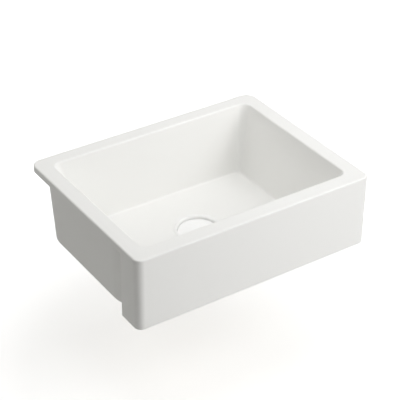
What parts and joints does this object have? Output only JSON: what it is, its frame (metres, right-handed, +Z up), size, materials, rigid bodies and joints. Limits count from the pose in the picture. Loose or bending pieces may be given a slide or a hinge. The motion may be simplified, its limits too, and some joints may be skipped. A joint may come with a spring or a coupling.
{
  "type": "farmhouse apron front sink",
  "caption": "Single-bowl farmhouse sink cast in white fireclay, with a deep front apron, a flat rim over a tapered tub, and a basket strainer drain.",
  "frame": {"origin": "mid-width on the flat base, at the plane of the apron's back face, which meets the cabinet front", "axes": "+X to the right across the width, +Y from the apron to the back, +Z up"},
  "size_m": [0.62, 0.475, 0.3422],
  "materials": {
    "glazed_fireclay": "glossy white glaze",
    "white_coat": "white powder coat",
    "stem_steel": "turned steel",
    "white_plastic": "moulded white polypropylene",
    "black_rubber": "moulded black rubber",
    "white_rubber": "soft white seal",
    "fibre": "pressed fibre"
  },
  "bodies": {
    "sink": {"basin": "glazed_fireclay", "strainer_body": "white_coat", "flange_seal": "white_rubber", "rubber_gasket": "black_rubber", "friction_ring": "fibre", "locknut": "white_plastic", "outlet_washer": "white_rubber", "tailpiece": "white_plastic", "slip_nut": "white_plastic"},
    "basket": {"basket": "white_coat"},
    "cover": {"drain_cover": "white_coat"},
    "post": {"post_stem": "stem_steel", "post_knob": "white_coat", "stopper_backing": "stem_steel", "stopper_seal": "black_rubber", "stem_nut": "stem_steel"}
  },
  "joints": [
    {"name": "basket_lift", "type": "slide", "parent": "sink", "child": "basket", "axis": [0, 0, 1], "range_m": [0, 0.08]},
    {"name": "cover_lift", "type": "slide", "parent": "basket", "child": "cover", "axis": [0, 0, 1], "range_m": [0, 0.08]},
    {"name": "post_pull", "type": "slide", "parent": "basket", "child": "post", "axis": [0, 0, 1], "range_m": [0, 0.01]}
  ]
}
